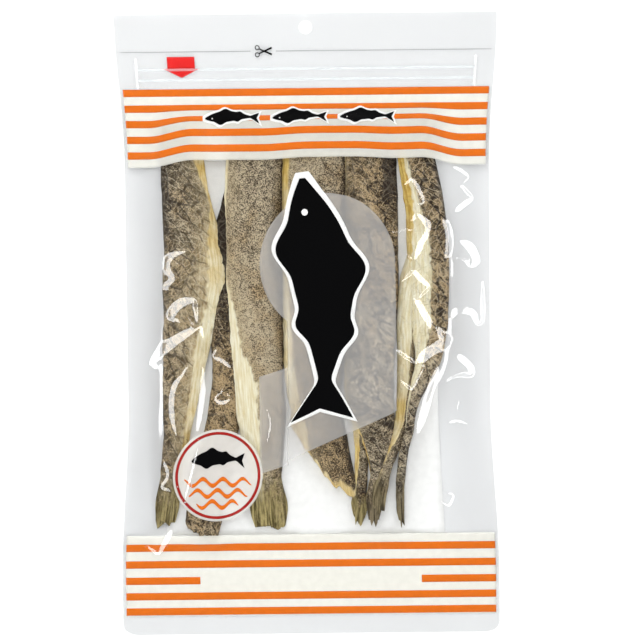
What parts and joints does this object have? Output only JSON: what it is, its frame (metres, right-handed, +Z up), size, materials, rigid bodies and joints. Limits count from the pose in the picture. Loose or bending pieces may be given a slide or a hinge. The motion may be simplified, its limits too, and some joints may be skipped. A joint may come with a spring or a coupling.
{
  "type": "dried fish pouch",
  "caption": "Clear zip-top pouch of dried headless saffron cod, lying on its back, with striped printed bands, a hang hole and fish that show through the film.",
  "frame": {"origin": "middle of the pouch's length and of its greatest width, on the surface that it lies on", "axes": "+X across the pouch, to the right as its front is seen from above; +Y along it, towards the header with the hang hole; +Z up, out of the printed front"},
  "size_m": [0.225, 0.364, 0.0158],
  "materials": {
    "film": "clear glossy laminate film",
    "zip": "clear extruded zip ribs",
    "white_ink": "white ink behind clear film",
    "orange_ink": "orange ink behind clear film",
    "red_ink": "red ink behind clear film",
    "black_ink": "black ink behind clear film",
    "fish_skin": "dry wrinkled fish skin",
    "fish_flesh": "dry fibrous fish flesh"
  },
  "bodies": {
    "root": {"pouch": "film"}
  },
  "joints": []
}
